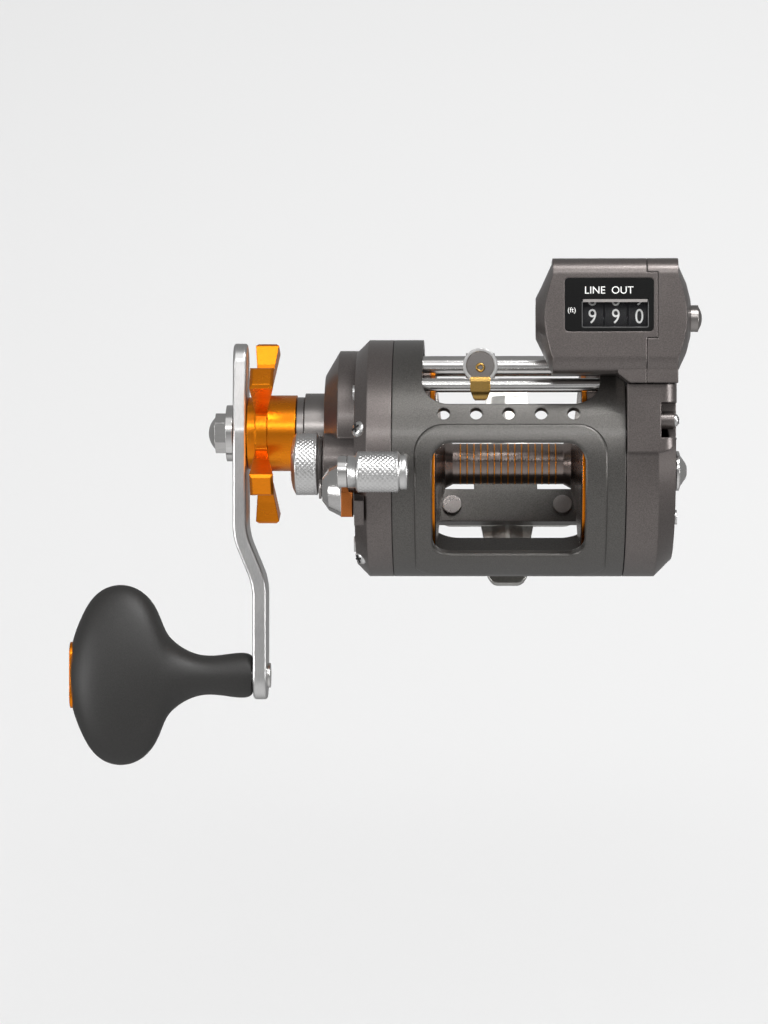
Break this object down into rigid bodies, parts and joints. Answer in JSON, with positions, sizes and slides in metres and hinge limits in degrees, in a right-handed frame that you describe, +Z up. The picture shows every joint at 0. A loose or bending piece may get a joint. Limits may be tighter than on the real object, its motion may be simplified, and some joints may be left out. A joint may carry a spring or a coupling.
{
  "type": "trolling reel",
  "caption": "Left-hand star-drag trolling reel with level wind, leaning line counter, T-grip crank and freespool lever.",
  "frame": {"origin": "centre of the flat lower face of the reel foot", "axes": "+X along the spool axis from handle to counter, +Y towards the rod tip, +Z up away from the rod"},
  "size_m": [0.1964, 0.1309, 0.1166],
  "materials": {
    "gunmetal": "satin fine metallic paint",
    "side_gunmetal": "satin fine metallic paint, warmer",
    "foot_metal": "bright cast",
    "steel": "polished",
    "silver": "satin machined",
    "grey_metal": "satin",
    "orange": "orange anodised",
    "gold": "gold plated",
    "spool_dark": "dark polished",
    "black_grip": "matte soft-touch",
    "black_plastic": "satin",
    "brass_gear": "machined",
    "white_plastic": "satin black drums",
    "clear": "clear",
    "fibre": "woven fibre",
    "bearing_steel": "ground"
  },
  "bodies": {
    "root": {"frame": "gunmetal", "reel_foot": "foot_metal", "foot_rivets": "silver", "handle_side_cover": "side_gunmetal", "handle_bridge_plate": "bearing_steel", "counter_side_cover": "side_gunmetal", "counter_bridge_plate": "bearing_steel", "cover_screws": "silver", "guide_rod": "steel", "worm_guard_tube": "steel", "ball_bearings": "bearing_steel", "drive_housing": "grey_metal", "gear_studs": "bearing_steel", "counter_housing": "side_gunmetal", "counter_housing_cover": "side_gunmetal", "counter_window": "black_plastic", "counter_lens": "clear", "counter_axle": "bearing_steel", "reset_spring": "bearing_steel", "clutch_springs": "bearing_steel", "lever_pivot": "grey_metal", "lever_stop": "black_plastic"},
    "crank": {"drive_shaft": "bearing_steel", "handle_arm": "silver", "handle_nut": "steel", "handle_washer": "steel", "main_gear": "brass_gear", "drag_washers": "fibre", "ratchet_wheel": "bearing_steel", "star_spacer": "grey_metal", "knob_post": "steel"},
    "star": {"star_wheel": "orange"},
    "knob": {"knob_grip": "black_grip", "knob_end_cap": "orange"},
    "spool_body": {"spool": "spool_dark", "spool_rims": "orange", "spool_shaft": "bearing_steel", "clutch_pin": "bearing_steel", "click_wheel": "brass_gear", "spool_gear": "white_plastic"},
    "idler": {"level_wind_idler": "white_plastic"},
    "worm": {"worm_shaft": "bearing_steel", "worm_gear": "white_plastic"},
    "step_idler": {"counter_idler": "white_plastic"},
    "units": {"counter_gear": "white_plastic", "number_wheel_units": "white_plastic"},
    "tens": {"number_wheel_tens": "white_plastic"},
    "hundreds": {"number_wheel_hundreds": "white_plastic"},
    "line_guide": {"line_guide_carriage": "silver", "pawl_cap": "grey_metal", "line_guide_eye": "gold"},
    "freespool_lever": {"lever_arm": "steel", "lever_grip": "silver", "lever_insert": "orange"},
    "yoke": {"clutch_yoke": "bearing_steel"},
    "pinion": {"pinion_gear": "brass_gear"},
    "tension": {"tension_knob": "silver"},
    "clicker": {"clicker_button": "steel"},
    "reset": {"reset_button": "grey_metal"},
    "dog": {"anti_reverse_dog": "bearing_steel"}
  },
  "joints": [
    {"name": "crank_spin", "type": "hinge", "parent": "root", "child": "crank", "pos_m": [-0.06, 0.00747, 0.02512], "axis": [1, 0, 0], "continuous": true},
    {"name": "star_turn", "type": "hinge", "parent": "crank", "child": "star", "pos_m": [-0.076, 0.00747, 0.02512], "axis": [1, 0, 0], "range_deg": [-180, 180]},
    {"name": "knob_spin", "type": "hinge", "parent": "crank", "child": "knob", "pos_m": [-0.1, -0.06443, -0.00158], "axis": [1, 0, 0], "continuous": true},
    {"name": "spool_spin", "type": "hinge", "parent": "root", "child": "spool_body", "pos_m": [0, -0.009, 0.041], "axis": [1, 0, 0], "continuous": true},
    {"name": "idler_spin", "type": "hinge", "parent": "root", "child": "idler", "pos_m": [0.039, 0.00757, 0.04378], "axis": [1, 0, 0], "continuous": true},
    {"name": "worm_spin", "type": "hinge", "parent": "root", "child": "worm", "pos_m": [0.039, 0.014, 0.0644], "axis": [1, 0, 0], "continuous": true},
    {"name": "step_idler_spin", "type": "hinge", "parent": "root", "child": "step_idler", "pos_m": [0.042, 0.01243, 0.07654], "axis": [1, 0, 0], "continuous": true},
    {"name": "units_spin", "type": "hinge", "parent": "root", "child": "units", "pos_m": [0.038, 0.02046, 0.08578], "axis": [1, 0, 0], "continuous": true},
    {"name": "tens_spin", "type": "hinge", "parent": "root", "child": "tens", "pos_m": [0.031, 0.02046, 0.08578], "axis": [1, 0, 0], "continuous": true},
    {"name": "hundreds_spin", "type": "hinge", "parent": "root", "child": "hundreds", "pos_m": [0.024, 0.02046, 0.08578], "axis": [1, 0, 0], "continuous": true},
    {"name": "line_guide_travel", "type": "slide", "parent": "root", "child": "line_guide", "axis": [1, 0, 0], "range_m": [-0.0085, 0.0255]},
    {"name": "lever_turn", "type": "hinge", "parent": "root", "child": "freespool_lever", "pos_m": [-0.05, -0.024, 0.0589], "axis": [1, 0, 0], "range_deg": [0, 30]},
    {"name": "yoke_slide", "type": "slide", "parent": "root", "child": "yoke", "axis": [-1, 0, 0], "range_m": [0, 0.0026], "deforming": ["clutch_springs"]},
    {"name": "pinion_spin", "type": "hinge", "parent": "yoke", "child": "pinion", "pos_m": [-0.044, -0.009, 0.041], "axis": [1, 0, 0], "continuous": true},
    {"name": "tension_turn", "type": "hinge", "parent": "root", "child": "tension", "pos_m": [-0.06, -0.009, 0.041], "axis": [1, 0, 0], "range_deg": [-180, 180]},
    {"name": "clicker_slide", "type": "slide", "parent": "root", "child": "clicker", "axis": [0, 0.9397, 0.342], "range_m": [0, 0.004]},
    {"name": "reset_press", "type": "slide", "parent": "root", "child": "reset", "axis": [-1, 0, 0], "range_m": [0, 0.0018], "stiffness_N_per_m": 600, "deforming": ["reset_spring"]},
    {"name": "dog_turn", "type": "hinge", "parent": "root", "child": "dog", "pos_m": [-0.042, -0.0075, 0.02111], "axis": [1, 0, 0], "range_deg": [0, 4]}
  ],
  "couplings": [
    {"joint": "spool_spin", "follows": "crank_spin", "ratio": -4.1667},
    {"joint": "pinion_spin", "follows": "crank_spin", "ratio": -4.1667},
    {"joint": "idler_spin", "follows": "crank_spin", "ratio": 1.6667},
    {"joint": "worm_spin", "follows": "crank_spin", "ratio": -2.0833},
    {"joint": "step_idler_spin", "follows": "crank_spin", "ratio": 1.0417},
    {"joint": "units_spin", "follows": "crank_spin", "ratio": -0.52083},
    {"joint": "tens_spin", "follows": "crank_spin", "ratio": -0.052083},
    {"joint": "hundreds_spin", "follows": "crank_spin", "ratio": -0.0052083},
    {"joint": "yoke_slide", "follows": "lever_turn", "m_per_rad": 0.0049465}
  ]
}
